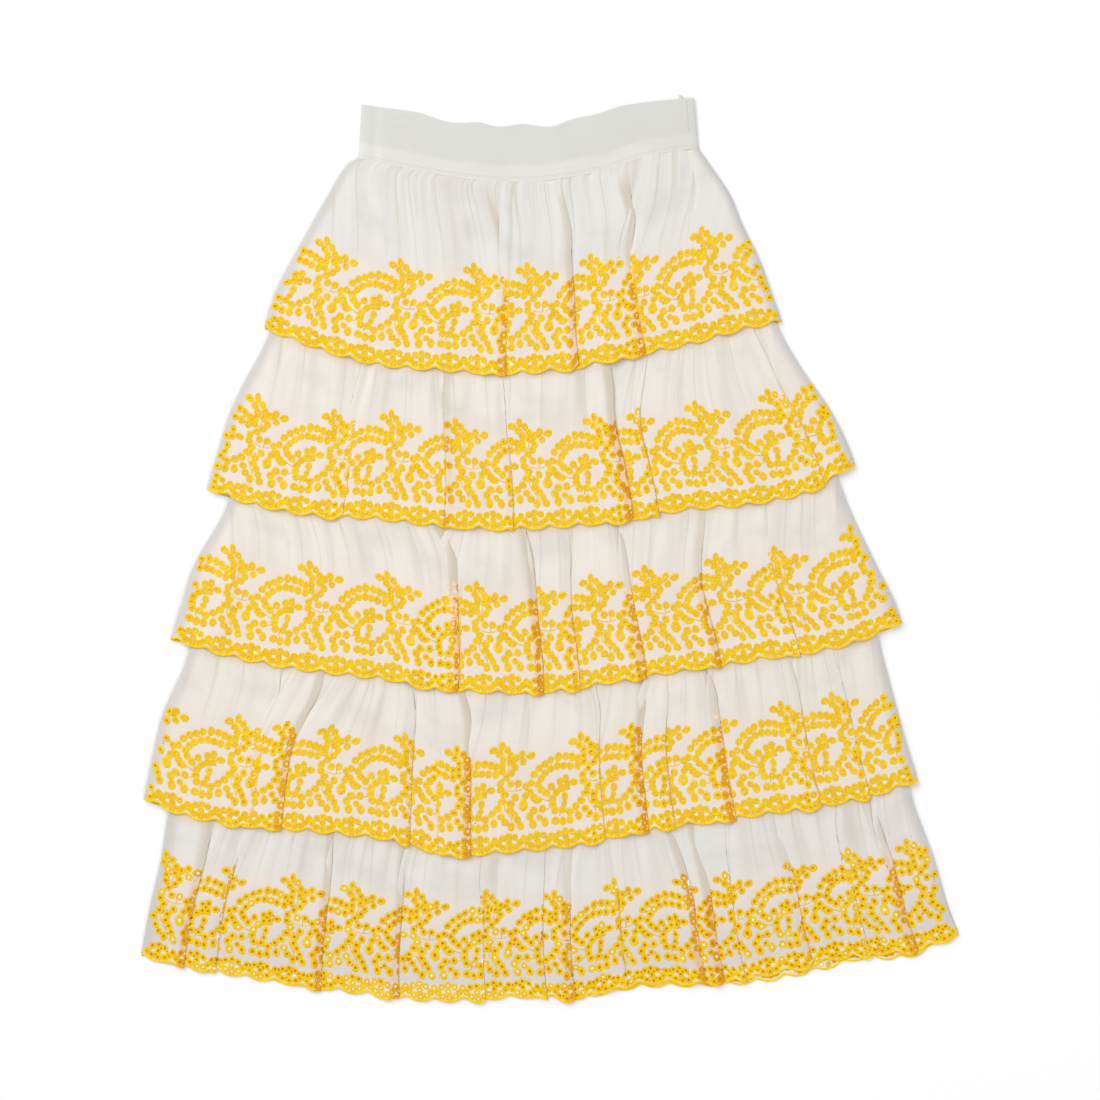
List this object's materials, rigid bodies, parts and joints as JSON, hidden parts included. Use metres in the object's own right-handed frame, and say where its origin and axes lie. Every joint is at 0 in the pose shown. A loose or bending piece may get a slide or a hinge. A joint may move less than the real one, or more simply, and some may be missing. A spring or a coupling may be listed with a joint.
{
  "type": "maxi skirt",
  "caption": "Long tiered skirt with a shaped waistband and gathered tiers that end in scalloped, eyelet-embroidered hems, laid flat with its front up.",
  "frame": {"origin": "middle of the laid-out skirt's outline, on the surface that it lies on", "axes": "+Y towards the waist, +X towards the wearer's left side, +Z out of the front, away from the surface"},
  "size_m": [0.8602, 0.9516, 0.0124],
  "materials": {
    "tier_cloth": "sheer off-white cotton voile, soft and matte",
    "embroidery_thread": "golden yellow satin-stitch thread with a low sheen",
    "waistband_cloth": "off-white cotton voile over a facing, topstitched",
    "hanger_tape": "narrow off-white satin tape"
  },
  "bodies": {
    "root": {"waistband_front": "waistband_cloth", "waistband_back": "waistband_cloth", "hanger_loop": "hanger_tape", "tier_1_front": "tier_cloth", "tier_1_back": "tier_cloth", "tier_2_front": "tier_cloth", "tier_2_back": "tier_cloth", "tier_3_front": "tier_cloth", "tier_3_back": "tier_cloth", "tier_4_front": "tier_cloth", "tier_4_back": "tier_cloth", "tier_5_front": "tier_cloth", "tier_5_back": "tier_cloth"}
  },
  "joints": []
}
